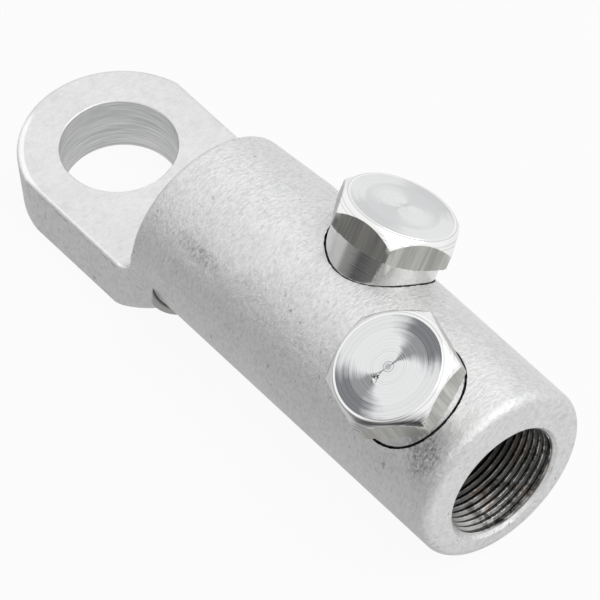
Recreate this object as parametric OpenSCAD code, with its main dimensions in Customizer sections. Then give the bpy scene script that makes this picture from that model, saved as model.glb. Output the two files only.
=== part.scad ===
// Mechanical cable lug with two shear bolts, in millimetres.
// The origin is the centre of the stud hole on the palm's underside.
// +X runs along the barrel to the cable mouth, +Z is up, and the palm lies on Z = 0.

/* [Barrel] */
// Outside diameter of the barrel
barrel_d = 28; // [26:0.5:36]
// Length of the barrel, from its shoulder to the cable mouth
barrel_len = 64.7; // [60:0.1:76]
// Height of the barrel's lowest line above the palm's underside
barrel_lift = 0.2; // [0.1:0.1:2]
// Rounding of the outer edge at the cable mouth
mouth_round = 1.6; // [0.5:0.1:3]
// Fall of the barrel's top line at the shoulder
crown_fall = 2.2; // [0.5:0.1:3]
// Length over which the top line falls
crown_len = 26.5; // [18:0.5:40]
// Rounding of the shoulder's edge
shoulder_round = 1; // [0.3:0.1:2]

/* [Cable bore] */
// Diameter of the cable bore
bore_d = 17.7; // [15:0.1:19]
// Depth of the bore's full diameter from the mouth
bore_depth = 47; // [44:0.5:52]
// Distance of the bore's axis below the barrel's axis
bore_drop = 1.35; // [0.5:0.05:2]
// Width of the chamfer at the bore's mouth
bore_chamfer = 0.7; // [0.3:0.1:1.2]
// Included angle of the bore's conical end
drill_angle = 118; // [90:1:140]
// Distance between neighbouring ring grooves in the bore's wall
groove_pitch = 1.05; // [0.8:0.05:2]
// Depth of each ring groove
groove_depth = 0.3; // [0.1:0.05:0.4]
// Width of the crest left between neighbouring grooves
crest_w = 0.25; // [0.1:0.05:0.5]
// Length of plain wall behind the mouth's chamfer
mouth_land = 0.5; // [0.4:0.1:3]

/* [Palm] */
// Width of the palm
palm_w = 28; // [26:0.5:36]
// Reach of the eye's round beyond half the palm's width
eye_over = 0.6; // [0.3:0.1:1]
// Draft of the eye's wall, from its upper to its lower edge
eye_draft = 0.5; // [0:0.1:0.6]
// Thickness of the palm
palm_t = 9.6; // [7:0.1:12]
// Diameter of the stud hole
stud_hole_d = 17; // [13:0.5:20]
// Chamfer on the upper edge of the stud hole
stud_hole_chamfer = 0.15; // [0.1:0.05:0.6]
// Distance from the stud hole's axis to the cable mouth
hole_to_mouth = 84.6; // [82:0.1:96]
// Rounding of the palm's upper edge
palm_top_round = 0.6; // [0.4:0.1:2]
// Rounding of the palm's lower edge
palm_low_round = 0.6; // [0.4:0.1:2]
// Radius of the fillet between the palm and the shoulder
root_fillet = 3; // [1:0.5:4]

/* [Heel] */
// Length by which the palm's lower corners run on past the shoulder
heel_len = 5.4; // [4:0.1:8]
// Radius at which the lower corners fade in towards the barrel
heel_round = 11.4; // [6:0.1:12]
// Angle through which that round turns
heel_fade_angle = 51; // [30:1:60]
// Height of the heel's last step above the barrel
heel_step = 1.3; // [0.5:0.1:3]
// Length of the heel's last step along the barrel
heel_step_len = 0.3; // [0.1:0.1:3]
// Length of the gentle slope before the last step
heel_slope_len = 2.9; // [1:0.1:4]
// Lean of the heel's sides in towards the barrel
heel_lean = 0.5; // [0.3:0.1:1.5]

/* [Shear bolts] */
// Width of the hexagon head across its flats
head_af = 17; // [14:0.5:19]
// Height of the head
head_h = 4.75; // [4:0.05:7]
// Height at which the head's six upright edges end
head_edge_h = 2.75; // [1.5:0.05:3]
// Height at which the head's six upright edges start
head_foot_h = 0.75; // [0.3:0.05:1]
// Diameter of the head's turned top
head_top_d = 16.2; // [12:0.1:17]
// Width of the ring that lies a step below the turned top
top_ring_w = 0.4; // [0.2:0.1:1]
// Height of the step round the turned top
top_step = 0.15; // [0.05:0.05:0.4]
// Diameter of the smooth collar under the head
collar_d = 15.7; // [13:0.1:15.8]
// Length of the smooth collar
collar_len = 4.5; // [2:0.1:6]
// Outside diameter of the thread
thread_d = 16; // [12:0.5:17]
// Distance between neighbouring thread crests
thread_pitch = 2; // [1:0.25:2.5]
// Length of the bolt under its head
shank_len = 19.7; // [16:0.1:22]
// Chamfer at the bolt's tip
tip_chamfer = 1; // [0.5:0.1:2]
// Clearance between the bolt's widest part and its hole, on the radius
thread_gap = 0.2; // [0.1:0.05:0.4]
// Widening of each bolt hole's rim, on the radius
rim_widening = 0.9; // [0.3:0.1:1.5]
// Depth of each bolt hole's tapered rim
rim_depth = 3.7; // [1:0.1:5]

/* [Bolt places] */
// Distance of the front bolt's axis from the cable mouth
front_from_mouth = 13.1; // [12:0.1:16]
// Distance of the rear bolt's axis from the cable mouth
rear_from_mouth = 34.1; // [32:0.1:37]
// Lean of the front bolt from upright, towards +Y
front_lean_angle = -24; // [-35:1:35]
// Lean of the rear bolt from upright, towards +Y
rear_lean_angle = 29; // [-35:1:35]
// Height of the front bolt's head above the barrel
front_lift = 2.7; // [2.7:0.1:12]
// Height of the rear bolt's head above the barrel
rear_lift = 2.8; // [2.7:0.1:12]
// Turn of the front bolt's hexagon
front_turn_angle = 44; // [0:1:60]
// Turn of the rear bolt's hexagon
rear_turn_angle = 10; // [0:1:60]
// Travel by which each bolt can still be screwed in
screw_in = 2.5; // [1:0.1:2.5]

/* [Hidden] */
$fn = 96;

// Small overlap that lets joined shapes merge
merge = 0.5;
// Room that cutters keep beyond what they cut
clear = 5;

barrel_r = barrel_d / 2;
axis_z = barrel_r + barrel_lift;
shoulder_x = hole_to_mouth - barrel_len;

bore_r = bore_d / 2;
bore_z = axis_z - bore_drop;
groove_w = groove_pitch - crest_w;
grooved_len = bore_depth - bore_chamfer - mouth_land;
groove_count = floor(grooved_len / groove_pitch);
first_groove = grooved_len - groove_count * groove_pitch + crest_w;
// Outline of the ring grooves, from the bore's end to its mouth
groove_outline = [
    for (i = [0 : groove_count - 1])
        for (step = [[0, 0], [groove_depth, groove_w / 2], [0, groove_w]])
            [bore_r + step[0], first_groove + i * groove_pitch + step[1]]
];

palm_r = palm_w / 2;
eye_r = palm_r + eye_over;
eye_lean = atan(eye_draft / palm_t);
heel_end_x = shoulder_x + heel_len;
heel_slope_x = heel_end_x - heel_step_len - heel_slope_len;
// Distance of the palm's lower corner from the barrel's axis
corner_r = norm([palm_r, axis_z]);
heel_step_r = barrel_r + heel_step;
// The fading round ends where it reaches the heel's gentle slope
heel_round_x = heel_slope_x - heel_round * sin(heel_fade_angle);
heel_slope_r = corner_r - heel_round * (1 - cos(heel_fade_angle));

thread_r = thread_d / 2;
collar_r = collar_d / 2;
head_corner_r = head_af / 2 / cos(30);
head_top_r = head_top_d / 2;
hole_r = max(thread_r, collar_r) + thread_gap;
// A thread with 60 degree flanks, flat crests and flat roots
thread_crest = thread_pitch / 8;
thread_flank = thread_pitch * 5 / 16;
thread_root_r = thread_r - thread_flank / tan(30);
// Height of the lowest crest, just above the tip's chamfer
tip_crest = tip_chamfer - shank_len;
thread_room = -collar_len - tip_crest - thread_crest - 2 * thread_flank;
crest_count = 1 + floor(thread_room / thread_pitch);
// Outline of the thread's crests as rings, from the collar down to the tip
thread_outline = [
    for (i = [crest_count - 1 : -1 : 1])
        for (step = [
            [thread_root_r, thread_crest + thread_flank],
            [thread_r, thread_crest],
            [thread_r, 0],
            [thread_root_r, -thread_flank]
        ])
            [step[0], tip_crest + i * thread_pitch + step[1]]
];

front_x = hole_to_mouth - front_from_mouth;
rear_x = hole_to_mouth - rear_from_mouth;

// Radius of the eye's wall at a height above the palm's underside
function eye_wall(z) = eye_r - eye_draft * (1 - z / palm_t);

// Distance along a leaning bolt's axis from the bore's axis to the barrel's surface
function seat(lean) = bore_drop * cos(lean) + sqrt(pow(barrel_r, 2) - pow(bore_drop * sin(lean), 2));

// Turns a shape that stands on Z so that it points along +X
module along_x(x, z) {
    translate([x, 0, z]) rotate([0, 90, 0]) children();
}

// Puts a shape on a bolt's axis, with its zero at the bore's axis
module on_bolt_axis(x, lean) {
    translate([x, 0, bore_z]) rotate([-lean, 0, 0]) children();
}

// One half of the palm's section: a bar with rounded outer edges
module palm_half_section() {
    square([palm_r - max(palm_top_round, palm_low_round), palm_t]);
    translate([0, palm_low_round]) square([palm_r, palm_t - palm_top_round - palm_low_round]);
    translate([palm_r - palm_low_round, palm_low_round]) circle(palm_low_round);
    translate([palm_r - palm_top_round, palm_t - palm_top_round]) circle(palm_top_round);
    square([palm_r - palm_low_round, palm_low_round]);
    translate([0, palm_t - palm_top_round]) square([palm_r - palm_top_round, palm_top_round]);
}

// The whole section of the palm, upright in Y and Z
module palm_section() {
    palm_half_section();
    mirror([1, 0]) palm_half_section();
}

// A section drawn in Y and Z, drawn out along +X
module drawn_along_x(x, length) {
    translate([x, 0, 0]) rotate([90, 0, 90]) linear_extrude(length) children();
}

// One half of the eye's section, with its wall leaning out towards the upper edge
module eye_half_section() {
    low = [eye_wall(palm_low_round) - palm_low_round / cos(eye_lean), palm_low_round];
    top_z = palm_t - palm_top_round;
    top = [eye_wall(top_z) - palm_top_round / cos(eye_lean), top_z];
    out = [cos(eye_lean), -sin(eye_lean)];
    polygon([
        [0, 0],
        [low[0], 0],
        low + palm_low_round * out,
        top + palm_top_round * out,
        [top[0], palm_t],
        [0, palm_t],
    ]);
    translate(low) circle(palm_low_round);
    translate(top) circle(palm_top_round);
}

// The rounded eye: a disc round the stud hole that the palm's straight sides cut off
module eye_form() {
    intersection() {
        rotate([0, 0, 90]) rotate_extrude(angle = 180) eye_half_section();
        drawn_along_x(-eye_r - clear, eye_r + 2 * clear) palm_section();
    }
}

// The eye and the bar of the palm, which runs on under the barrel
module palm_form() {
    eye_form();
    drawn_along_x(0, heel_end_x) palm_section();
    drawn_along_x(shoulder_x, heel_len) heel_section();
}

// Section of the heel, whose sides lean in from the palm's edge to the barrel
module heel_section() {
    polygon([
        [-palm_r, palm_low_round],
        [palm_r, palm_low_round],
        [palm_r, palm_t - palm_top_round],
        [barrel_r - heel_lean, axis_z],
        [heel_lean - barrel_r, axis_z],
        [-palm_r, palm_t - palm_top_round],
    ]);
}

// Turned outline that fades the palm's lower corners into the barrel
module heel_outline() {
    along_x(0, axis_z) rotate_extrude() {
        translate([0, -palm_r - clear]) square([corner_r + clear, palm_r + clear + heel_round_x]);
        intersection() {
            translate([corner_r - heel_round, heel_round_x]) circle(heel_round);
            translate([0, heel_round_x - merge]) square([corner_r, heel_round + merge]);
        }
        polygon([
            [0, heel_round_x],
            [corner_r - heel_round, heel_round_x],
            [heel_slope_r, heel_slope_x],
            [heel_step_r, heel_slope_x + heel_slope_len],
            [barrel_r - merge, heel_end_x],
            [0, heel_end_x],
        ]);
    }
}

// The round barrel with its rounded mouth
module barrel_form() {
    along_x(shoulder_x, axis_z) rotate_extrude() {
        square([barrel_r, barrel_len - mouth_round]);
        square([barrel_r - mouth_round, barrel_len]);
        translate([barrel_r - mouth_round, barrel_len - mouth_round]) circle(mouth_round);
    }
}

// The cone that lowers the barrel's top line towards the shoulder
module crown_cone() {
    slope = crown_fall / crown_len;
    length = barrel_len + clear;
    round_r = barrel_r + slope * shoulder_round - shoulder_round * sqrt(1 + pow(slope, 2));
    tangent = shoulder_round / sqrt(1 + pow(slope, 2)) * [1, -slope];
    along_x(shoulder_x, axis_z - crown_fall) rotate_extrude() {
        polygon([
            [0, 0],
            [round_r, 0],
            [round_r, shoulder_round],
            [round_r, shoulder_round] + tangent,
            [barrel_r + slope * length, length],
            [0, length],
        ]);
        translate([round_r, shoulder_round]) circle(shoulder_round);
    }
}

// Hollow fillet where the shoulder stands on the palm
module root_fillet_form() {
    difference() {
        intersection() {
            drawn_along_x(shoulder_x - root_fillet, root_fillet + merge) heel_section();
            translate([0, -palm_r, palm_t - merge]) cube([hole_to_mouth, palm_w, root_fillet + merge]);
        }
        translate([shoulder_x - root_fillet, 0, palm_t + root_fillet])
            rotate([90, 0, 0]) cylinder(r = root_fillet, h = palm_w + clear, center = true);
    }
}

// The blind cable bore with its ring grooves, chamfered mouth and conical end
module cable_bore_cut() {
    along_x(hole_to_mouth - bore_depth, bore_z) rotate_extrude() polygon([
        [0, -bore_r / tan(drill_angle / 2)],
        [bore_r, 0],
        each groove_outline,
        [bore_r, bore_depth - bore_chamfer],
        [bore_r + bore_chamfer, bore_depth],
        [bore_r + bore_chamfer, bore_depth + clear],
        [0, bore_depth + clear],
    ]);
}

// The stud hole, with its upper edge broken
module stud_hole_cut() {
    chamfer = stud_hole_chamfer;
    translate([0, 0, -clear]) cylinder(d = stud_hole_d, h = palm_t + 2 * clear);
    translate([0, 0, palm_t - chamfer])
        cylinder(d1 = stud_hole_d, d2 = stud_hole_d + 4 * chamfer, h = 2 * chamfer);
}

// A bolt's hole: it runs on to where the tip can go, and its rim is tapered
module bolt_hole_cut(x, lean, lift) {
    rim = seat(lean);
    tip = rim + lift - shank_len - screw_in - thread_gap;
    on_bolt_axis(x, lean) {
        translate([0, 0, tip]) cylinder(r = hole_r, h = rim + clear - tip);
        translate([0, 0, rim - rim_depth]) cylinder(
            r1 = hole_r,
            r2 = hole_r + rim_widening * (1 + clear / rim_depth),
            h = rim_depth + clear
        );
    }
}

module lug_body() {
    color("gainsboro") difference() {
        union() {
            intersection() {
                palm_form();
                heel_outline();
            }
            intersection() {
                barrel_form();
                crown_cone();
            }
            root_fillet_form();
        }
        cable_bore_cut();
        stud_hole_cut();
        bolt_hole_cut(front_x, front_lean_angle, front_lift);
        bolt_hole_cut(rear_x, rear_lean_angle, rear_lift);
    }
}

// Hexagon head with a turned top, standing on Z = 0
module bolt_head() {
    intersection() {
        cylinder(r = head_corner_r, h = head_h, $fn = 6);
        rotate_extrude() polygon([
            [0, 0],
            [head_af / 2, 0],
            [head_corner_r, head_foot_h],
            [head_corner_r, head_edge_h],
            [head_top_r, head_h - top_step],
            [head_top_r - top_ring_w, head_h - top_step],
            [head_top_r - top_ring_w, head_h],
            [0, head_h],
        ]);
    }
}

// One shear bolt with the underside of its head on Z = 0
module shear_bolt() {
    bolt_head();
    rotate_extrude() polygon([
        [0, merge],
        [collar_r, merge],
        [collar_r, -collar_len],
        [thread_root_r, -collar_len],
        each thread_outline,
        [thread_root_r, tip_crest + thread_crest + thread_flank],
        [thread_r, tip_crest + thread_crest],
        [thread_r, tip_crest],
        [thread_r - tip_chamfer, -shank_len],
        [0, -shank_len],
    ]);
}

// A bolt in its hole, with its head at a height above the barrel
module placed_bolt(x, lean, lift, turn) {
    on_bolt_axis(x, lean) translate([0, 0, seat(lean) + lift]) rotate([0, 0, turn]) shear_bolt();
}

module rear_shear_bolt() {
    color("silver") placed_bolt(rear_x, rear_lean_angle, rear_lift, rear_turn_angle);
}

module front_shear_bolt() {
    color("silver") placed_bolt(front_x, front_lean_angle, front_lift, front_turn_angle);
}

lug_body();
rear_shear_bolt();
front_shear_bolt();
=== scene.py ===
# %% [markdown]
# # A cable lug with two shear bolts
# A lug like this ends a heavy power cable. The bared cable goes into the round barrel, two bolts clamp it
# until their heads shear off, and the flat palm is bolted to a terminal. The solids come from the packed
# model. This script gives them their looks: the forged and plated body, and the bright turned bolts.

# %% The packed model
import math
import random

import bmesh
import bpy
from mathutils import Matrix, Vector


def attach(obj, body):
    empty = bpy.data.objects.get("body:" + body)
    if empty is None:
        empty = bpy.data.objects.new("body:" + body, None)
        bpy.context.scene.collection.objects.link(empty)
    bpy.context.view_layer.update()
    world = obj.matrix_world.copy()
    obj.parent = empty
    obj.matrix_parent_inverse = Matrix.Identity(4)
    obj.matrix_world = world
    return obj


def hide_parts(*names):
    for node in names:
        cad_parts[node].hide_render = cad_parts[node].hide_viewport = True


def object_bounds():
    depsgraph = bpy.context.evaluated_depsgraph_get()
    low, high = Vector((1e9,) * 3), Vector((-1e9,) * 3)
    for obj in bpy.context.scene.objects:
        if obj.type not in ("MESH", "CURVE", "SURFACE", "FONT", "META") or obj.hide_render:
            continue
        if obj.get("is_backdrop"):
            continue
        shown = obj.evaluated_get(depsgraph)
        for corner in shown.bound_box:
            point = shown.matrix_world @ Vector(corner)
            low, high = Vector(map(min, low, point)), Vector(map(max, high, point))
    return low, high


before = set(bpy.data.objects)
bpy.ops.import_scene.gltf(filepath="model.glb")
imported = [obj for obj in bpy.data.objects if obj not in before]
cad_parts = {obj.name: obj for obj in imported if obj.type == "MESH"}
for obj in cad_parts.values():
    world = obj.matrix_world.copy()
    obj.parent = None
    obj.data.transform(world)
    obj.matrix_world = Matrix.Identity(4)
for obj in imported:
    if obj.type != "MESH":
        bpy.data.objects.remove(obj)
cad_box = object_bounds()
MM = 0.001
print("nodes:", sorted(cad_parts), "box mm:", [[round(c / MM, 1) for c in p] for p in cad_box])

# %% [markdown]
# ## The camera
# The lug was seen from above its cable mouth, from far away with a long lens, so its edges look almost
# parallel. A camera could be turned by hand until the picture fits. Here its three directions are worked
# out from the viewing angles, so each number says what it does.

# %% The camera at the viewing angle
AZIMUTH, ELEVATION, ROLL = (math.radians(a) for a in (52.43, 50.33, -2.64))
DISTANCE = 1100 * MM
LENS = 473.15
AIM = Vector((39.5, 0, 14.2)) * MM
OFF_RIGHT, OFF_UP = 0.80 * MM, -1.92 * MM

towards = Vector((
    math.cos(ELEVATION) * math.sin(AZIMUTH),
    -math.cos(ELEVATION) * math.cos(AZIMUTH),
    math.sin(ELEVATION),
))
level = Vector((math.cos(AZIMUTH), math.sin(AZIMUTH), 0))
upright = towards.cross(level)
cam_right = level * math.cos(ROLL) + upright * math.sin(ROLL)
cam_up = upright * math.cos(ROLL) - level * math.sin(ROLL)

camera_data = bpy.data.cameras.new("photo_camera")
camera_data.sensor_width = 36
camera_data.lens = LENS
camera_data.clip_end = 20
camera = bpy.data.objects.new("photo_camera", camera_data)
place = AIM + cam_right * OFF_RIGHT + cam_up * OFF_UP + towards * DISTANCE
camera.matrix_world = Matrix((cam_right, cam_up, towards)).transposed().to_4x4()
camera.matrix_world.translation = place
bpy.context.scene.collection.objects.link(camera)
bpy.context.scene.camera = camera
bpy.context.scene.view_settings.view_transform = "Standard"
print("camera at", [round(c, 3) for c in place])

# %% [markdown]
# ## Writing node maths
# A finish is a sum of small patterns: mottling, grain, turned rings. Such sums could be drawn as nodes by
# hand, but they are slow to read. So one class wraps a socket, and plain arithmetic adds the Math nodes. Its
# reflected forms are for a plain number on the left, as in 1 - mask.

# %% Numbers
class Number:
    """A number that changes over a surface. Arithmetic on it adds Math nodes."""

    def __init__(self, nodes, socket):
        self.nodes = nodes
        self.socket = socket

    def math(self, operation, other=0.0, turned=False):
        first, second = (other, self) if turned else (self, other)
        return self.nodes.number("ShaderNodeMath", {"operation": operation}, {0: first, 1: second})

    def __add__(self, other):
        return self.math("ADD", other)

    def __sub__(self, other):
        return self.math("SUBTRACT", other)

    def __rsub__(self, other):
        return self.math("SUBTRACT", other, turned=True)

    def __mul__(self, other):
        return self.math("MULTIPLY", other)

    def __truediv__(self, other):
        return self.math("DIVIDE", other)

    def __rtruediv__(self, other):
        return self.math("DIVIDE", other, turned=True)

    def __abs__(self):
        return self.math("ABSOLUTE")

    __radd__ = __add__
    __rmul__ = __mul__


print("reflected forms:", [name for name in vars(Number) if name.startswith("__r")])

# %% [markdown]
# Every other node goes through one method, which takes its type, its settings, and the values or links of
# its sockets. The patterns that come back again and again get short names: a soft step, a fade, noise and
# stripes.

# %% Nodes
class Nodes:
    """A node tree that is filled by one method."""

    def __init__(self, tree):
        self.tree = tree
        self.tree.nodes.clear()

    def add(self, kind, settings=None, sockets=None):
        node = self.tree.nodes.new(kind)
        for name, value in (settings or {}).items():
            setattr(node, name, value)
        for key, value in (sockets or {}).items():
            if isinstance(value, Number):
                value = value.socket
            if isinstance(value, bpy.types.NodeSocket):
                self.tree.links.new(value, node.inputs[key])
            else:
                node.inputs[key].default_value = value
        return node

    def number(self, kind, settings=None, sockets=None, output=0):
        return Number(self, self.add(kind, settings, sockets).outputs[output])

    def step(self, value, low, high, start=0.0, end=1.0):
        sockets = {"Value": value, "From Min": low, "From Max": high, "To Min": start, "To Max": end}
        return self.number("ShaderNodeMapRange", {"interpolation_type": "SMOOTHSTEP"}, sockets)

    def fade(self, value, full, gone, start=1.0):
        return self.step(value, full, gone, start, 0.0)

    def noise(self, where, scale, detail=2.0, roughness=0.5):
        sockets = {"Vector": where, "Scale": scale, "Detail": detail, "Roughness": roughness}
        return self.number("ShaderNodeTexNoise", None, sockets)

    def stripes(self, along, scale, detail=2.0):
        sockets = {"W": along, "Scale": scale, "Detail": detail}
        return self.number("ShaderNodeTexNoise", {"noise_dimensions": "1D"}, sockets)


print("a tree can:", [name for name in vars(Nodes) if not name.startswith("_")])

# %% [markdown]
# A finish also needs places and colours. Places are read in millimetres, the unit of the lug's drawing, so
# that a pattern's numbers are real sizes. Colours are mixed, never added, because a Math node would turn
# them grey.

# %% Places, colours and metal
class Finish(Nodes):
    """The nodes of a material or of the world."""

    def __init__(self, owner):
        owner.use_nodes = True
        super().__init__(owner.node_tree)

    def millimetres(self, place=(0, 0, 0), turn=(0, 0, 0)):
        spot = self.add("ShaderNodeTexCoord").outputs["Object"]
        sockets = {"Vector": spot, "Location": place, "Rotation": turn, "Scale": (MM, MM, MM)}
        return self.add("ShaderNodeMapping", {"vector_type": "TEXTURE"}, sockets).outputs[0]

    def parts(self, vector):
        node = self.add("ShaderNodeSeparateXYZ", None, {0: vector})
        return [Number(self, output) for output in node.outputs]

    def scaled(self, vector, factors):
        return self.add("ShaderNodeVectorMath", {"operation": "MULTIPLY"}, {0: vector, 1: factors}).outputs[0]

    def distance(self, vector, centre, factors=(1, 1, 1)):
        gap = self.add("ShaderNodeVectorMath", {"operation": "SUBTRACT"}, {0: vector, 1: centre}).outputs[0]
        length = self.add("ShaderNodeVectorMath", {"operation": "LENGTH"}, {0: self.scaled(gap, factors)})
        return Number(self, length.outputs["Value"])

    def blend(self, share, first, second):
        node = self.add("ShaderNodeMix", {"data_type": "RGBA"}, {"Factor": share})
        for socket, value in zip([s for s in node.inputs if s.type == "RGBA"], (first, second)):
            if isinstance(value, bpy.types.NodeSocket):
                self.tree.links.new(value, socket)
            else:
                socket.default_value = (*value, 1)
        return next(s for s in node.outputs if s.type == "RGBA")

    def metal(self, colour, roughness, height, strength, depth):
        sockets = {"Strength": strength, "Distance": depth * MM, "Height": height}
        bump = self.add("ShaderNodeBump", None, sockets)
        shader = self.add("ShaderNodeBsdfPrincipled", None, {
            "Base Color": colour, "Metallic": 1.0, "Roughness": roughness, "Normal": bump.outputs[0],
        })
        self.add("ShaderNodeOutputMaterial", None, {"Surface": shader.outputs[0]})


print("a finish can also:", [name for name in vars(Finish) if not name.startswith("_")])

# %% [markdown]
# ## The studio
# The lug lies on a white sweep under a large soft light. The sweep could be lit until it burns out, but
# then the metal would burn out too. Instead the floor turns white only where the camera or a mirror looks
# at it, and it still takes the lug's shadow. In the metal's mirror its near side is greyer, a painted
# shade, and a grey card lies further out, so that round sides darken and edges show.

# %% The floor
FLOOR_HALF = 4.0
FLOOR_MATTE, FLOOR_GLOW, MIRRORED_GLOW = (0.9, 0.9, 0.9, 1), 0.92, 0.8
WHITE, NEAR_SHADE = (1, 1, 1), (0.60, 0.60, 0.60)
CARD_GREY, CARD_DARK = (0.25, 0.25, 0.25), (0.06, 0.06, 0.06)
NEAR_Y, NEAR_X = (-40, 60), (82, 92)
CARD_SLANT, CARD_EDGE, CARD_TONE = 0.5, (-220, -130), (-150, -20)


def seen_directly(finish):
    rays = finish.add("ShaderNodeLightPath")
    return [Number(finish, rays.outputs[name]) for name in
            ("Is Camera Ray", "Is Glossy Ray", "Is Transmission Ray")]


def white_sweep():
    material = bpy.data.materials.new("white_sweep")
    finish = Finish(material)
    camera_ray, glossy_ray, through_ray = seen_directly(finish)
    x, y, _ = finish.parts(finish.millimetres())
    near_side = finish.fade(y, *NEAR_Y) * finish.fade(x, *NEAR_X)
    card = finish.fade(y - x * CARD_SLANT, *CARD_EDGE)
    tone = finish.blend(finish.step(x, *CARD_TONE), CARD_GREY, CARD_DARK)
    # painted shade: mirrors see the floor's near side grey
    shown = finish.blend(glossy_ray * near_side, WHITE, NEAR_SHADE)
    shown = finish.blend(glossy_ray * card, shown, tone)
    matte = finish.add("ShaderNodeBsdfDiffuse", None, {"Color": FLOOR_MATTE})
    glow = finish.add("ShaderNodeEmission", None, {"Color": shown, "Strength": 1.0})
    share = (camera_ray + through_ray) * FLOOR_GLOW + glossy_ray * MIRRORED_GLOW
    mixed = finish.add("ShaderNodeMixShader", None, {"Fac": share, 1: matte.outputs[0], 2: glow.outputs[0]})
    finish.add("ShaderNodeOutputMaterial", None, {"Surface": mixed.outputs[0]})
    return material


corners = [(x * FLOOR_HALF, y * FLOOR_HALF, 0) for x, y in ((-1, -1), (1, -1), (1, 1), (-1, 1))]
floor_mesh = bpy.data.meshes.new("floor")
floor_mesh.from_pydata(corners, [], [(0, 1, 2, 3)])
floor_mesh.materials.append(white_sweep())
floor = bpy.data.objects.new("floor", floor_mesh)
bpy.context.scene.collection.objects.link(floor)
floor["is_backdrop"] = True
print("the floor is", 2 * FLOOR_HALF, "m wide")

# %% [markdown]
# The world is the white room round the lug. It lights the lug only half as strongly as it looks, so the
# metal keeps its own grey. A card stands low on the near side, as a photographer puts one beside bright
# metal: only mirrors see it. One large square lamp overhead gives the soft main light.

# %% The world and the lamp
WORLD_LEVEL = 0.5
CARD_HEIGHT, CARD_SIDE, CARD_SHADE = (0.10, 0.42), (-0.5, -0.15), (-0.4, -0.1)
LAMP_AT, LAMP_SIDE, LAMP_LEVEL = Vector((0.45, 0.45, 1.0)), 1.0, 1.2

world = bpy.data.worlds.new("studio")
bpy.context.scene.world = world
finish = Finish(world)
camera_ray, glossy_ray, through_ray = seen_directly(finish)
sky_x, sky_y, sky_z = finish.parts(finish.add("ShaderNodeTexCoord").outputs["Generated"])
card = finish.fade(sky_z, *CARD_HEIGHT) * finish.fade(sky_y, *CARD_SIDE)
tone = finish.blend(finish.step(sky_x, *CARD_SHADE), CARD_GREY, CARD_DARK)
shown = finish.blend(glossy_ray * card, WHITE, tone)
strength = WORLD_LEVEL + (camera_ray + glossy_ray + through_ray) * (1 - WORLD_LEVEL)
sky = finish.add("ShaderNodeBackground", None, {"Color": shown, "Strength": strength})
finish.add("ShaderNodeOutputWorld", None, {"Surface": sky.outputs[0]})

lamp_data = bpy.data.lights.new("overhead_box", "AREA")
lamp_data.size = LAMP_SIDE
lamp_data.energy = LAMP_LEVEL * math.pi * LAMP_SIDE ** 2
lamp = bpy.data.objects.new("overhead_box", lamp_data)
lamp.location = LAMP_AT
lamp.rotation_euler = (AIM - LAMP_AT).to_track_quat("-Z", "Y").to_euler()
bpy.context.scene.collection.objects.link(lamp)
print("the lamp gives", round(lamp_data.energy, 2), "W")

# %% [markdown]
# ## The forged skin
# The body is forged, tumbled and tin-plated. Tumbling leaves a fine fibrous grain, soft clouds and a few
# pits on the skin, and the pressed palm is smoother. Two dark speckled patches on the barrel's upper near
# side are painted shade. A picture of real metal would be the usual way. Layers of noise do it here, so
# the finish has no seams.

# %% The skin's colour, roughness and height
PALM_T, PALM_ENDS = 9.6, (16, 19)
CLEAN_TIN, DULL_TIN = (0.79, 0.793, 0.79), (0.58, 0.583, 0.585)
PATCH_SHADE, PIT = (0.22, 0.22, 0.22), (0.28, 0.28, 0.28)
# Each painted shade patch has a centre, how fast it ends along each axis, and where it fades from, to and how
# strong it is
SHADE_PATCHES = [
    ((80.2, -10.2, 23.4), (0.3, 0.22, 0.22), (0.35, 1.1, 1.0)),
    ((31.5, -10.8, 23.0), (0.13, 0.5, 0.5), (0.2, 1.0, 0.7)),
]


def skin(finish, at, x, z):
    cloud = finish.noise(at, 0.12, 2.0)
    mottle = finish.noise(at, 0.5, 4.0, 0.6)
    fibre = finish.noise(finish.scaled(at, (2.4, 1.1, 1.4)), 1.0, 5.0, 0.72)
    speck = finish.step(finish.noise(at, 2.3, 4.0, 0.7), 0.4, 0.72)
    pressed = finish.step(z, PALM_T - 0.1, PALM_T - 0.02) * finish.fade(x, *PALM_ENDS)
    pits = finish.step(finish.noise(at, 0.85, 3.0, 0.55), 0.675, 0.71) * (1 - pressed)
    shaded = sum(finish.fade(finish.distance(at, centre, pace), *ends) for centre, pace, ends in SHADE_PATCHES)
    grain = (fibre - 0.5) * (1 - pressed * 0.6)
    dull = 0.22 + grain * 3.0 + finish.step(mottle, 0.5, 0.75) * 0.25 + (cloud - 0.5) * 0.5
    colour = finish.blend(dull, CLEAN_TIN, DULL_TIN)
    # painted shade: the two patches darken the skin
    colour = finish.blend(shaded * (speck * 0.6 + 0.3 + (fibre - 0.5) * 2.2), colour, PATCH_SHADE)
    colour = finish.blend(pits * 0.55, colour, PIT)
    return colour, 0.32 + mottle * 0.12, grain * 3.6 + (mottle - 0.5) * 0.9


print("the skin has", len(SHADE_PATCHES), "sooty patches")

# %% [markdown]
# ## Painted light and shade on edges
# A painted highlight runs along the palm's near edge with a broken painted shadow line under it, and
# painted shade lies in the crease where the heel meets the barrel. A bevel would give an even highlight.
# A mask by height, broken up by noise, gives a ragged one.

# %% The palm's edge and the heel's crease
PALM_R, BARREL_Z, BARREL_R = 14.0, 14.2, 14.0
EDGE_Y, EDGE_X = (-8, -4), (17, 19)
CREASE_START, CREASE_END = (24.85, 24.98), (25.5, 25.6)
EDGE_HIGHLIGHT, EDGE_SHADOW = (0.93, 0.93, 0.93), (0.3, 0.3, 0.3)
CREASE_SHADE_DARK, CREASE_SHADE_PALE = (0.07, 0.07, 0.065), (0.5, 0.5, 0.49)


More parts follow.
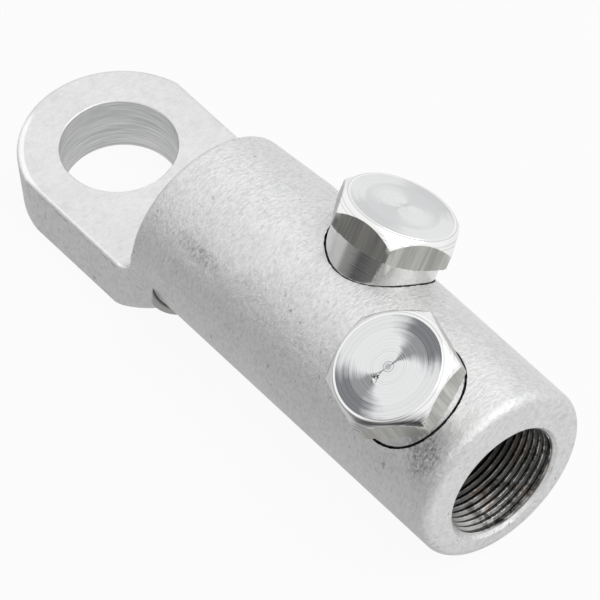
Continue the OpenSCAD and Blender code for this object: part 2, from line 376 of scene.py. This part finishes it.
def painted_edge_light(finish, at, x, y, z, colour):
    side = (x.math("MINIMUM", 0.0).math("POWER", 2.0) + y * y).math("SQRT")
    chips = finish.noise(at, 0.9, 4.0, 0.7) - 0.5
    near = finish.step(side, PALM_R - 0.55, PALM_R - 0.35) * finish.fade(y, *EDGE_Y)
    # painted highlight along the palm's near top edge
    bright = near * finish.step(z + chips * 0.8, PALM_T - 0.5, PALM_T - 0.3) * finish.fade(x, *EDGE_X)
    # painted shadow line just under the highlight
    dark = near * finish.fade(abs(z + chips * 0.5 - PALM_T + 0.75), 0.06, 0.2)
    colour = finish.blend(dark * finish.step(chips, -0.05, 0.1) * 0.8, colour, EDGE_SHADOW)
    return finish.blend(bright, colour, EDGE_HIGHLIGHT)


def heel_crease_shade(finish, at, x, colour):
    # painted shade in the crease where the heel meets the barrel, darkest beside the barrel
    from_axis = finish.distance(at, (0, 0, BARREL_Z), (0, 1, 1))
    outside = finish.step(from_axis, BARREL_R + 0.02, BARREL_R + 0.1)
    crease = finish.step(x, *CREASE_START) * finish.fade(x, *CREASE_END) * outside
    shadow = finish.blend(finish.step(from_axis, BARREL_R + 0.15, BARREL_R + 0.7), CREASE_SHADE_DARK, CREASE_SHADE_PALE)
    return finish.blend(crease, colour, shadow)


print("the crease lies at x", CREASE_START[0], "to", CREASE_END[1], "mm")

# %% [markdown]
# ## The two round holes
# The stud hole shows the drill's rings. In the cable bore the grooves' crests are worn bright, oil and
# oxide fill the grooves, and painted shade darkens it further in and in blotches towards its far side.
# Each hole could have its own material, but then the body would have to be cut up by faces. The distance
# from the hole's axis tells the wall from the skin.

# %% Drilled wall and grooved wall
STUD_R = 8.5
BORE_Z, BORE_R, GROOVE_R, MOUTH_X = 12.85, 8.85, 9.15, 84.6
DRILL_DARK, DRILL_PALE = (0.55, 0.555, 0.56), (0.80, 0.80, 0.80)
OILY, RUSTY, SWEPT = (0.10, 0.10, 0.098), (0.12, 0.092, 0.075), (0.72, 0.72, 0.71)
CREST_TIN, BORE_SHADE = (0.80, 0.80, 0.79), (0.03, 0.028, 0.026)
BORE_START, DARK_TO_LIGHT = (30, 33), (74, 80.5)
SWEPT_X, SWEPT_Y, SHADE_BLOTCH_Y = (76, 81), (-6, 3), (-5, -1)


def drilled_wall(finish, at):
    """Where the stud hole's wall is, its colour and its rings."""
    from_stud = finish.distance(at, (0, 0, 0), (1, 1, 0))
    inside = finish.fade(from_stud, STUD_R + 0.05, STUD_R + 0.2)
    rings = finish.noise(finish.scaled(at, (0.12, 0.12, 2.4)), 1.0, 3.0, 0.6)
    return inside, finish.blend(finish.step(rings, 0.3, 0.7), DRILL_DARK, DRILL_PALE), rings


def grooved_wall(finish, at, x, y):
    """Where the cable bore's wall is, and its colour."""
    from_bore = finish.distance(at, (0, 0, BORE_Z), (0, 1, 1))
    inside = finish.fade(from_bore, GROOVE_R + 0.1, GROOVE_R + 0.2) * finish.step(x, *BORE_START)
    inside = inside * finish.fade(x, MOUTH_X - 0.6, MOUTH_X - 0.35)
    worn = finish.noise(finish.scaled(at, (1.5, 0.55, 0.55)), 1.0, 5.0, 0.7)
    crest = finish.fade(from_bore + (worn - 0.5) * 0.4, BORE_R, BORE_R + 0.09)
    dirt = finish.step(finish.noise(at, 1.1, 4.0, 0.7), 0.38, 0.62, 0.25, 1.0)
    rust = finish.step(finish.noise(at, 0.33, 3.0), 0.5, 0.62)
    swept = finish.fade(y + (worn - 0.5) * 8, *SWEPT_Y, 0.75) * finish.step(x, *SWEPT_X)
    # painted shade: dark blotches towards the bore's far side
    shade_blotch = finish.step(finish.noise(at, 0.6, 4.0, 0.7), 0.50, 0.60, 0.0, 0.8)
    shade_blotch = shade_blotch * finish.step(y, *SHADE_BLOTCH_Y)
    # painted shade: darker further into the bore
    depth = finish.fade(x + (worn - 0.5) * 3, *DARK_TO_LIGHT, 0.95)
    grime = finish.blend(swept, finish.blend(rust, OILY, RUSTY), SWEPT)
    grooved = finish.blend(crest * dirt, grime, CREST_TIN)
    return inside, finish.blend(depth.math("MAXIMUM", shade_blotch), grooved, BORE_SHADE)


print("the bore's wall starts at r", BORE_R, "and the stud hole's at r", STUD_R, "mm")

# %% [markdown]
# The layers now go on in order: the skin first, then the painted highlight and shade on the palm's edge
# and in the heel's crease, and last the holes, which cut through the skin and take its grain away.

# %% Plated metal
def plated_metal():
    material = bpy.data.materials.new("plated_body")
    finish = Finish(material)
    at = finish.millimetres()
    x, y, z = finish.parts(at)
    colour, rough, height = skin(finish, at, x, z)
    colour = painted_edge_light(finish, at, x, y, z, colour)
    colour = heel_crease_shade(finish, at, x, colour)
    in_stud, drilled, rings = drilled_wall(finish, at)
    in_bore, grooved = grooved_wall(finish, at, x, y)
    colour = finish.blend(in_bore, finish.blend(in_stud, colour, drilled), grooved)
    height = (height * (1 - in_stud) + rings * in_stud * 1.2) * (1 - in_bore)
    finish.metal(colour, rough, height, strength=1.0, depth=0.05)
    return material


plated = plated_metal()
print("material:", plated.name, "with", len(plated.node_tree.nodes), "nodes")

# %% [markdown]
# ## The bolt holes' rims
# Two holes lean to either side of the barrel. In the solid their rims flare, so that the bolts pass freely.
# On the real lug the gap round each bolt is only a thin line. The holes could be cut again by a boolean.
# It is cleaner to find the points of the flare, by their distance from the hole's axis, and to slide them
# in towards it.

# %% Bolt axes and rims
BOLTS = {
    "rear": {"x": 50.5, "lean": 29, "lift": 2.8, "turn": 10, "seed": 5},
    "front": {"x": 71.5, "lean": -24, "lift": 2.7, "turn": 44, "seed": 11},
}
HOLE_R, FLARE, FLARE_DEPTH, RIM_R = 8.2, 0.9, 3.7, 8.3
CLOSE = 0.01
CROWN_Z, CROWN_SLOPE, SHOULDER_X = 12.0, 0.083, 19.9


def bolt_axis(name):
    turned = Matrix.Rotation(math.radians(-BOLTS[name]["lean"]), 4, "X")
    return Matrix.Translation((BOLTS[name]["x"], 0, BORE_Z)) @ turned


def seat_height(name):
    """How far up its axis a bolt leaves the barrel."""
    rise = BARREL_Z - BORE_Z
    along = rise * math.cos(math.radians(BOLTS[name]["lean"]))
    return along + math.sqrt(along ** 2 + BARREL_R ** 2 - rise ** 2)


def flare_radius(name, height):
    return HOLE_R + max(0, height - seat_height(name) + FLARE_DEPTH) * FLARE / FLARE_DEPTH


def draw_in_rims(mesh):
    moved = 0
    for name in BOLTS:
        axis = bolt_axis(name)
        back = axis.inverted()
        flare_start = seat_height(name) - FLARE_DEPTH
        for vertex in mesh.vertices:
            spot = back @ (vertex.co / MM)
            radius = spot.xy.length
            on_flare = spot.z > flare_start and abs(radius - flare_radius(name, spot.z)) < CLOSE
            if on_flare and radius > RIM_R:
                spot.xy *= RIM_R / radius
                vertex.co = axis @ spot * MM
                moved += 1
    print("points drawn in at the rims:", moved)
    return mesh


print("the bolts leave the barrel at", [round(seat_height(name), 3) for name in BOLTS], "mm up their axes")

# %% [markdown]
# ## The body's mesh
# The packed mesh is loose triangles, which would shade as facets. So a copy is merged, its true edges are
# marked sharp, and the large flat faces get the say over the shading of the round ones beside them.

# %% Merging and shading a mesh
def marked(mesh, sharp_angle):
    shape = bmesh.new()
    shape.from_mesh(mesh)
    bmesh.ops.remove_doubles(shape, verts=shape.verts, dist=1e-6)
    bmesh.ops.recalc_face_normals(shape, faces=shape.faces)
    for edge in shape.edges:
        edge.smooth = len(edge.link_faces) == 2 and edge.calc_face_angle(0) < math.radians(sharp_angle)
    for face in shape.faces:
        face.smooth = True
    shape.to_mesh(mesh)
    shape.free()
    return mesh


def converted(mesh, name, kind, setup):
    """The mesh as a modifier leaves it."""
    draft = bpy.data.objects.new(name + "_draft", mesh)
    bpy.context.scene.collection.objects.link(draft)
    setup(draft.modifiers.new(name, kind))
    seen = draft.evaluated_get(bpy.context.evaluated_depsgraph_get())
    final = bpy.data.meshes.new_from_object(seen)
    final.name = name
    bpy.data.objects.remove(draft)
    return final


def even_shading(modifier):
    modifier.keep_sharp = True
    modifier.weight = 80


print("mesh helpers:", [helper.__name__ for helper in (marked, converted, even_shading)])

# %% [markdown]
# A finished piece has to move with the real one. So it rides on the body that carries it and takes its
# material, and where it stands in for a solid it hides that node. The body is the first such piece.

# %% The forged body
BODY_SHARP = 28


def piece(name, mesh, body, material, node=None):
    obj = bpy.data.objects.new(name, mesh)
    bpy.context.scene.collection.objects.link(obj)
    mesh.materials.clear()
    mesh.materials.append(material)
    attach(obj, body)
    if node:
        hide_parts(node)
    print(name, "has", len(mesh.polygons), "faces")
    return obj


body_mesh = marked(draw_in_rims(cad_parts["lug_body"].data.copy()), BODY_SHARP)
body_mesh = converted(body_mesh, "forged_body", "WEIGHTED_NORMAL", even_shading)
piece("forged_body", body_mesh, "lug", plated, "lug_body")

# %% [markdown]
# ## The bolt's turned form
# A shear bolt is turned from hexagon bar. The lathe faces the top and cuts a cone, which leaves six curved
# edges on the flats. A chamfer takes the corners off the foot of the head. The bar's outline and the two
# cones could be cut from each other by booleans. Here each is a formula, so that every edge can get its own
# small bevel, which catches the light.

# %% Hexagon, cone and foot
FLAT_R, CORNER_ROUND = 8.5, 0.2
HALF_SIDE = math.radians(30)
CORNER_R = FLAT_R / math.cos(HALF_SIDE)
CONE_Z, CONE_R, EDGE_Z, FOOT_Z = 4.60, 8.1, 2.75, 0.75


def bolt_columns():
    """Angles round the bolt, closest together at the hexagon's rounded corners."""
    half = [0, 0.3, 0.6, 1.5, 3, 5] + [7.5 + 2.5 * i for i in range(10)]
    sixth = half + [60 - a for a in reversed(half[1:-1])]
    return [math.radians(60 * k + a) for k in range(6) for a in sixth]


def hexagon(angle):
    """Distance from the axis to the hexagon with rounded corners."""
    off = abs((angle + HALF_SIDE) % (2 * HALF_SIDE) - HALF_SIDE)
    middle = (FLAT_R - CORNER_ROUND) / math.cos(HALF_SIDE)
    ends = math.atan2(CORNER_ROUND / 2, middle + CORNER_ROUND * math.cos(HALF_SIDE))
    if off < ends:
        return middle * math.cos(off) + math.sqrt(CORNER_ROUND ** 2 - (middle * math.sin(off)) ** 2)
    return FLAT_R / math.cos(HALF_SIDE - off)


def cone_height(radius):
    return CONE_Z - (radius - CONE_R) * (CONE_Z - EDGE_Z) / (CORNER_R - CONE_R)


def foot_height(radius):
    return max(0, radius - FLAT_R) * FOOT_Z / (CORNER_R - FLAT_R)


print("across the corners:", round(2 * hexagon(0), 2), "mm, in", len(bolt_columns()), "columns")

# %% [markdown]
# The outline runs down from the nib that the facing tool leaves in the middle of the top, over the cone,
# the flat and the collar to the tip of the shank. A turned profile would be the same at every angle. This
# one is worked out for each angle, because the hexagon moves its edges in and out.

# %% One column of the bolt
HEAD_H, NIB_H, NIB_R, FACED_R, TOP_R, FLAT_Z = 4.75, 0.03, 0.45, 5.4, 7.6, 1.6
COLLAR_R, COLLAR_FOOT_R, COLLAR_LEN = 8.1, 8.05, 6.5
ROOT_R, SHANK_LEN = 6.92, 19.7
ZONES = range(6)
THREAD, TOP, CONE, FLAT, UNDER, COLLAR = ZONES


def bolt_rows(edge, burr):
    """One column's points as (zone, radius, height), for a hexagon radius and a burr height."""
    bevel, low, foot = CONE_R + 0.03, edge - 0.05, foot_height(edge)
    top = [
        (NIB_R, 0.02), (NIB_R + 0.1, -0.02), (NIB_R + 0.2, -0.05), (NIB_R + 0.4, 0), (3.0, 0),
        (FACED_R, 0), (FACED_R + 0.15, -0.012), (TOP_R, -0.09),
    ]
    ring = [(TOP_R + 0.08, -0.11), (TOP_R + 0.12, -0.15), (TOP_R + 0.12, -0.20), (CONE_R - 0.15, -0.19)]
    zones = {
        TOP: [(r, HEAD_H + z) for r, z in top],
        CONE: [(r, HEAD_H + z) for r, z in ring] + [(CONE_R - 0.05, CONE_Z)]
        + [(r, cone_height(r)) for r in (bevel, (bevel + low) / 2, low)],
        FLAT: [(edge, cone_height(edge) - 0.05), (edge, FLAT_Z), (edge, foot + 0.15)],
        UNDER: [
            (edge + 0.3 * burr, foot - burr), (edge - 0.08, foot_height(edge - 0.08)), (FLAT_R - 0.15, 0),
        ],
        COLLAR: [(COLLAR_R + 0.02, 0), (COLLAR_R, -0.06), (COLLAR_FOOT_R, -COLLAR_LEN + 0.15)],
        THREAD: [
            (COLLAR_FOOT_R - 0.15, -COLLAR_LEN), (ROOT_R + 0.05, -COLLAR_LEN - 0.05),
            (ROOT_R, -COLLAR_LEN - 0.15), (ROOT_R, -SHANK_LEN + 0.25), (ROOT_R - 0.25, -SHANK_LEN),
        ],
    }
    return [(zone, r, z) for zone, rows in zones.items() for r, z in rows]


print("one column has", len(bolt_rows(hexagon(0), 0)), "rows")

# %% [markdown]
# Neighbouring columns are joined into one closed skin. Each face keeps the number of its zone, so that the
# finish can tell the zones apart. Turning the collar leaves a fine uneven burr on the hexagon's lower
# edge, drawn by a fixed seed.

# %% The bolt without its thread
HEAD_BURR = 0.14


def bolt_core(seed):
    chance = random.Random(seed)
    angles = bolt_columns()
    columns = [bolt_rows(hexagon(a), HEAD_BURR * chance.random() ** 3) for a in angles]
    rows = len(columns[0])
    points = [(r * math.cos(a), r * math.sin(a), z) for a, c in zip(angles, columns) for _, r, z in c]
    top, tip = len(points), len(points) + 1
    points += [(0, 0, HEAD_H + NIB_H), (0, 0, -SHANK_LEN)]
    faces, zones = [], []
    for j in range(len(angles)):
        here, there = j * rows, (j + 1) % len(angles) * rows
        faces.append((top, here, there))
        zones.append(TOP)
        for i in range(rows - 1):
            faces.append((here + i, here + i + 1, there + i + 1, there + i))
            zones.append(columns[j][i][0])
        faces.append((tip, there + rows - 1, here + rows - 1))
        zones.append(THREAD)
    mesh = bpy.data.meshes.new("bolt_core")
    mesh.from_pydata(points, [], faces)
    mesh.attributes.new("zone", "FLOAT", "FACE").data.foreach_set("value", zones)
    return mesh


print("the burr is at most", HEAD_BURR, "mm high")

# %% [markdown]
# ## Geometry Nodes by script
# Two things on the lug follow a path: the thread and the burrs. Each is a tree with one shape, its sizes
# and a finish as inputs, which ends in one dressed shape. Wiring that by hand for each tree would repeat
# itself, so helpers start a tree, end it, and feed a modifier by its sockets' identifiers.

# %% Starting, ending and feeding a tree
def tree_start(name, shape, sizes):
    """A new tree's nodes, its inputs, and its sizes as numbers."""
    tree = bpy.data.node_groups.new(name, "GeometryNodeTree")
    nodes = Nodes(tree)
    face = tree.interface
    face.new_socket("Geometry", in_out="OUTPUT", socket_type="NodeSocketGeometry")
    face.new_socket(shape, in_out="INPUT", socket_type="NodeSocketGeometry")
    for size in sizes:
        face.new_socket(size, in_out="INPUT", socket_type="NodeSocketFloat")
    face.new_socket("Finish", in_out="INPUT", socket_type="NodeSocketMaterial")
    given = nodes.add("NodeGroupInput").outputs
    return nodes, given, [Number(nodes, given[size]) for size in sizes]


def tree_end(nodes, given, shape):
    whole = nodes.add("GeometryNodeRealizeInstances", None, {0: shape}).outputs[0]
    sockets = {"Geometry": whole, "Material": given["Finish"]}
    dressed = nodes.add("GeometryNodeSetMaterial", None, sockets).outputs[0]
    nodes.add("NodeGroupOutput", None, {0: dressed})
    return nodes.tree


def fed(tree, values):
    """A set-up for a Geometry Nodes modifier: the tree and its named inputs."""
    names = {item.name: item.identifier for item in tree.interface.items_tree if item.in_out == "INPUT"}

    def setup(modifier):
        modifier.node_group = tree
        for name, value in values.items():
            modifier[names[name]] = value
    return setup


print("tree helpers:", [helper.__name__ for helper in (tree_start, tree_end, fed)])

# %% [markdown]
# ## The thread
# The die cuts one ridge that climbs round the shank. Rings would be quicker to draw but would not screw.
# So a spiral carries a wedge-shaped section, and the ridge fades in and out at its ends as a cut thread
# does.

# %% A thread that follows a spiral
FLANK_SLOPE = math.tan(math.radians(30))
CREST_SHARE, SUNK, SPIRAL_STEPS = 0.125, 0.08, 72
RUN_IN, RUN_OUT, THINNED = (0.0, 0.05), (0.94, 1.0), 0.05


def thread_tree():
    sizes = ("Root radius", "Crest radius", "Pitch", "Bottom", "Length")
    nodes, given, (root, crest, pitch, bottom, length) = tree_start("screw_thread", "Core", sizes)
    buried = root - SUNK
    rise = crest - buried
    spiral = nodes.add("GeometryNodeCurveSpiral", None, {
        "Resolution": SPIRAL_STEPS, "Rotations": length / pitch, "Start Radius": buried, "End Radius": buried,
        "Height": length, "Reverse": True,
    }).outputs[0]
    upright = nodes.add("GeometryNodeSetCurveNormal", {"mode": "Z_UP"}, {"Curve": spiral}).outputs[0]
    section = nodes.add("GeometryNodeCurvePrimitiveQuadrilateral", {"mode": "TRAPEZOID"}, {
        "Height": rise, "Bottom Width": pitch * CREST_SHARE + rise * (2 * FLANK_SLOPE),
        "Top Width": pitch * CREST_SHARE, "Offset": 0.0,
    }).outputs[0]
    outward = nodes.add("ShaderNodeCombineXYZ", None, {0: rise / 2}).outputs[0]
    section = nodes.add("GeometryNodeTransform", None, {
        "Geometry": section, "Rotation": (0, 0, math.radians(-90)), "Translation": outward,
    }).outputs[0]
    along = nodes.number("GeometryNodeSplineParameter", output="Factor")
    fade = nodes.step(along, *RUN_IN, THINNED) * nodes.step(along, *RUN_OUT, 1.0, THINNED)
    ridge = nodes.add("GeometryNodeCurveToMesh", None, {
        "Curve": upright, "Profile Curve": section, "Scale": fade, "Fill Caps": True,
    }).outputs[0]
    lifted = nodes.add("ShaderNodeCombineXYZ", None, {2: bottom}).outputs[0]
    ridge = nodes.add("GeometryNodeTransform", None, {"Geometry": ridge, "Translation": lifted}).outputs[0]
    joined = nodes.add("GeometryNodeJoinGeometry", None, {0: given["Core"]})
    nodes.tree.links.new(ridge, joined.inputs[0])
    return tree_end(nodes, given, joined.outputs[0])


thread = thread_tree()
print("the thread's inputs:", [item.name for item in thread.interface.items_tree if item.in_out == "INPUT"])

# %% [markdown]
# ## The turned top
# A turned face carries fine rings. Light from one side is thrown back in a band across them, so the face
# shows lighter and darker sectors, wider on the sloping outer ring than on the flat middle. Anisotropic
# shading would do this too, but its direction is lost in an export. Here the sectors are painted by angle
# as a painted reflection, and the dark rings round the nib are painted shade of the same strength.

# %% The turned top's pattern
def turned_top(finish, at, around, radius, spread, depth):
    """How dark the turned face is, and its ring pattern."""
    rings = finish.stripes(radius, 6.0, 3.0)
    broad = finish.stripes(radius, 1.1, 2.0)
    ragged = finish.noise(finish.scaled(at, (0.35, 0.35, 0.0)), 1.0, 3.0)
    across = abs(around.math("SINE")) + (broad - 0.5) * 0.35 + (ragged - 0.5) * 0.45
    wide = finish.step(radius, 0.6, FACED_R, 0.16, 0.6) * spread
    inner = finish.fade(across / wide, 0.3, 1.25) * 0.75
    outer = finish.step(across, 0.35, 0.85, 0.9, 0.06)
    shade = inner + (outer - inner) * finish.step(radius, FACED_R - 0.05, FACED_R + 0.35)
    # painted shade: dark rings round the nib
    nib = finish.fade(radius, NIB_R - 0.03, NIB_R + 0.13, 0.42)
    nib = nib + finish.fade(abs(radius - NIB_R - 0.3), 0.03, 0.16, 0.4)
    fine = (rings - 0.5) * finish.step(radius, 1.2, FACED_R + 0.1, 0.95, 0.4)
    return (shade + nib) * depth + fine * (depth * 0.7 + 0.3), rings


print("the top's pattern changes at r", FACED_R, "mm")

# %% [markdown]
# The cone shows the tool's lines, and on the front bolt its low side is darker, as if it mirrored the dark
# card. The front bolt's top also has a torn spot beside its nib. Both could be left to the studio and to
# the mesh, but they are finer than either, so they are painted.

# %% The cone and the chip
TORN_DARK, TORN_PALE = (0.06, 0.06, 0.06), (0.95, 0.95, 0.95)
CONE_PALE, CONE_DARK = (0.90, 0.90, 0.90), (0.16, 0.16, 0.155)
LOW_SIDE = (-8.0, -6.4)


def cone_colour(finish, x, y, radius, low_dark):
    lines = finish.step(finish.stripes(radius, 3.4, 2.0), 0.5, 0.72)
    low_side = finish.fade(y * 0.7 - x * 0.7, *LOW_SIDE, low_dark)
    ridged = finish.step(finish.stripes(radius, 2.2, 2.0), 0.38, 0.58, 1.1, 0.45)
    return finish.blend((lines * 0.35).math("MAXIMUM", low_side * ridged), CONE_PALE, CONE_DARK)


def chipped(finish, at, chip, colour):
    ragged = finish.noise(at, 1.6, 3.0, 0.7) - 0.5
    spot = finish.fade(finish.distance(at, chip, (1.7, 0.6, 0)) + ragged * 3.0, 0.35, 0.6, 0.9)
    torn = finish.step(finish.noise(at, 3.2, 2.0), 0.44, 0.54)
    return finish.blend(spot, colour, finish.blend(torn, TORN_DARK, TORN_PALE))


print("the cone goes down to", round(cone_height(CORNER_R), 2), "mm at the corners")

# %% [markdown]
# ## The bolts' finish
# The flats keep the drawn bar's duller skin with streaks along the bar, and the collar is turned as bright
# as a mirror. The zones could have a material each. One that reads the zone is easier to keep in step.

# %% Turned metal
TOP_PALE, TOP_DARK = (0.80, 0.805, 0.81), (0.17, 0.175, 0.185)
BAR_DARK, BAR_PALE = (0.40, 0.395, 0.375), (0.62, 0.615, 0.59)
COLLAR_PALE, COLLAR_DARK = (0.86, 0.86, 0.855), (0.72, 0.72, 0.71)
UNDER_GREY, THREAD_GREY = (0.80, 0.80, 0.79), (0.6, 0.6, 0.59)
# The sheen is the dark sectors' angle, spread and depth are how wide and dark they are, low_dark is how dark
# the cone's low side is, and the chip is a torn spot on the top
LOOKS = {
    "rear": {"sheen": 95, "spread": 2.0, "depth": 0.3, "low_dark": 0.0, "chip": None},
    "front": {"sheen": 78, "spread": 1.0, "depth": 1.05, "low_dark": 0.75, "chip": (-0.2, -2.1, 0)},
}


def turned_metal(name, seated, look):
    material = bpy.data.materials.new(name)
    finish = Finish(material)
    at = finish.millimetres(seated.translation * MM, seated.to_euler())
    x, y, _ = finish.parts(at)
    zone = finish.number("ShaderNodeAttribute", {"attribute_name": "zone"}, output="Fac")
    only = {kind: finish.fade(abs(zone - kind), 0.2, 0.4) for kind in ZONES}
    radius = finish.distance(at, (0, 0, 0), (1, 1, 0))
    around = y.math("ARCTAN2", x) - math.radians(look["sheen"])
    dark, rings = turned_top(finish, at, around, radius, look["spread"], look["depth"])
    streaks = finish.noise(finish.scaled(at, (2.6, 2.6, 0.12)), 1.0, 4.0, 0.6)
    bands = finish.noise(finish.scaled(at, (0.55, 0.55, 0.03)), 1.0, 2.0)
    turning = finish.noise(finish.scaled(at, (0.12, 0.12, 3.5)), 1.0, 3.0, 0.6)
    worn = finish.step(streaks * 0.5 + bands * 0.5, 0.36, 0.64)
    colour = finish.blend(dark, TOP_PALE, TOP_DARK)
    if look["chip"]:
        colour = chipped(finish, at, look["chip"], colour)
    for kind, skin_colour in (
        (CONE, cone_colour(finish, x, y, radius, look["low_dark"])),
        (FLAT, finish.blend(worn, BAR_DARK, BAR_PALE)),
        (COLLAR, finish.blend(turning, COLLAR_PALE, COLLAR_DARK)),
        (UNDER, UNDER_GREY),
        (THREAD, THREAD_GREY),
    ):
        colour = finish.blend(only[kind], colour, skin_colour)
    rough = 0.24 - only[CONE] * 0.06 + only[FLAT] * 0.06 - only[COLLAR] * 0.13
    height = rings * (only[TOP] + only[CONE]) + streaks * only[FLAT] * 0.8 + turning * only[COLLAR] * 0.7
    finish.metal(colour, rough, height, strength=0.5, depth=0.02)
    return material


print("bolt finishes:", {name: look["sheen"] for name, look in LOOKS.items()})

# %% [markdown]
# Each bolt gets its thread from the tree, is turned to where its spanner left it, and is set on its leaning
# axis. Its place goes into its mesh, so that the object itself stays at the origin.

# %% The two bolts
CREST_R, PITCH = 8.0, 2.0
ABOVE_TIP, BELOW_COLLAR = 0.75, 0.85
BOLT_SHARP = 40
TO_METRES = Matrix.Diagonal((MM, MM, MM, 1))

for name, bolt in BOLTS.items():
    seated = bolt_axis(name) @ Matrix.Translation((0, 0, seat_height(name) + bolt["lift"]))
    metal = turned_metal(name + "_bolt_metal", seated, LOOKS[name])
    node = name + "_shear_bolt"
    mesh = converted(bolt_core(bolt["seed"]), node + "_turned", "NODES", fed(thread, {
        "Root radius": ROOT_R, "Crest radius": CREST_R, "Pitch": PITCH, "Bottom": -SHANK_LEN + ABOVE_TIP,
        "Length": SHANK_LEN - COLLAR_LEN - ABOVE_TIP - BELOW_COLLAR, "Finish": metal,
    }))
    mesh.transform(TO_METRES @ seated @ Matrix.Rotation(math.radians(bolt["turn"]), 4, "Z"))
    mesh = converted(marked(mesh, BOLT_SHARP), node + "_turned", "WEIGHTED_NORMAL", even_shading)
    piece(node + "_turned", mesh, name + "_bolt", metal, node)

# %% [markdown]
# ## The burrs round the bolt holes
# Drilling and tapping through the plated wall throws up a thin ragged lip at each hole's rim. It could be
# painted on as a pale line, but then it would cast no shadow and break no outline. So a thin bead of uneven
# thickness follows the rim.

# %% A ragged bead along a path
def burr_tree():
    sizes = ("Thinnest", "Thickest", "Lumps per mm")
    nodes, given, (thin, thick, lumps) = tree_start("rim_burr", "Rim", sizes)
    where = nodes.add("GeometryNodeInputPosition").outputs[0]
    uneven = nodes.step(nodes.noise(where, lumps, 3.0, 0.6), 0.42, 0.68)
    path = nodes.add("GeometryNodeMeshToCurve", None, {0: given["Rim"]}).outputs[0]
    sockets = {"Resolution": 8, "Radius": 1.0}
    section = nodes.add("GeometryNodeCurvePrimitiveCircle", {"mode": "RADIUS"}, sockets).outputs[0]
    bead = nodes.add("GeometryNodeCurveToMesh", None, {
        "Curve": path, "Profile Curve": section, "Scale": thin + (thick - thin) * uneven,
    }).outputs[0]
    return tree_end(nodes, given, bead)


burr = burr_tree()
print("the burr's inputs:", [item.name for item in burr.interface.items_tree if item.in_out == "INPUT"])

# %% [markdown]
# The rim has no simple formula, because the hole leans and the barrel's crown falls towards the palm. So
# for each angle its height is found by halving, again and again, the stretch between a height inside the
# body and one outside it.

# %% The burrs on both rims
RIM_STEPS, HALVINGS = 420, 30
DEEPEST, HIGHEST = 9, 1
BURR_SHARP = 60


def inside_body(point):
    crown_r = BARREL_R + CROWN_SLOPE * (point.x - SHOULDER_X)
    in_barrel = math.hypot(point.y, point.z - BARREL_Z) < BARREL_R
    return in_barrel and math.hypot(point.y, point.z - CROWN_Z) < crown_r


def rim_point(name, angle):
    """The rim's point at one angle, as high as where the solid's flare leaves the body."""
    axis, seat = bolt_axis(name), seat_height(name)
    outward = Vector((math.cos(angle), math.sin(angle), 0))
    low, high = seat - DEEPEST, seat + HIGHEST
    for _ in range(HALVINGS):
        height = (low + high) / 2
        up = Vector((0, 0, height))
        if inside_body(axis @ (outward * flare_radius(name, height) + up)):
            low = height
        else:
            high = height
    return axis @ (outward * RIM_R + up)


for name in BOLTS:
    loop = [rim_point(name, 2 * math.pi * i / RIM_STEPS) for i in range(RIM_STEPS)]
    rim = bpy.data.meshes.new(name + "_rim")
    rim.from_pydata(loop, [(i, (i + 1) % RIM_STEPS) for i in range(RIM_STEPS)], [])
    mesh = converted(rim, name + "_rim_burr", "NODES", fed(burr, {
        "Thinnest": 0.02, "Thickest": 0.11, "Lumps per mm": 1.3, "Finish": plated,
    }))
    mesh.transform(TO_METRES)
    piece(name + "_rim_burr", marked(mesh, BURR_SHARP), "lug", plated)

# %% [markdown]
# ## Sizes
# The dressed lug has to keep the solids' size, so the largest difference between their two boxes is printed.

# %% Sizes
shown_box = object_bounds()
gaps = [abs(a - b) / MM for p, q in zip(cad_box, shown_box) for a, b in zip(p, q)]
print("largest difference, mm:", max(gaps))
